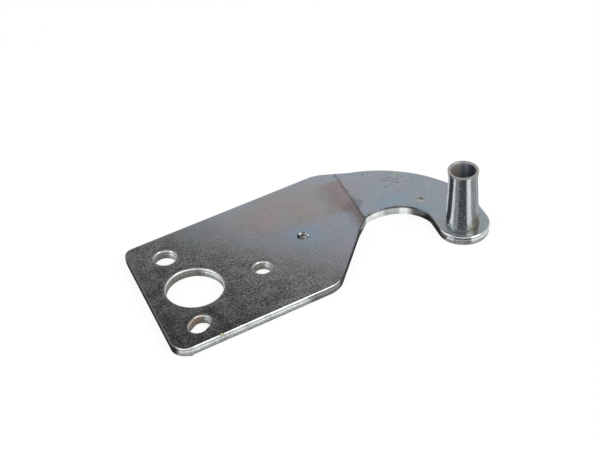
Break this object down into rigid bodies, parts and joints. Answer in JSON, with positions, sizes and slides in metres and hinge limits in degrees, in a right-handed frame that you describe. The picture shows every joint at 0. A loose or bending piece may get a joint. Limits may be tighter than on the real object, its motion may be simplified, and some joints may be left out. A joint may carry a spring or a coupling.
{
  "type": "fridge door hinge",
  "caption": "Flat stamped steel plate with a gooseneck arm that ends in an upright hollow pin, on which a fridge door turns.",
  "frame": {"origin": "the hollow pin's axis, at the level of the plate's upper face", "axes": "+X along the plate's long edges, from the screwed end towards the pin; +Y from the front edge to the back edge; +Z along the pin, away from the plate"},
  "size_m": [0.1167, 0.0579, 0.0242],
  "materials": {
    "plate_steel": "bright zinc plating on stamped sheet, worn dull grey",
    "pin_steel": "bright zinc plating on a drawn pin, glossy"
  },
  "bodies": {
    "root": {"hinge_plate": "plate_steel", "hinge_pin": "pin_steel"}
  },
  "joints": []
}
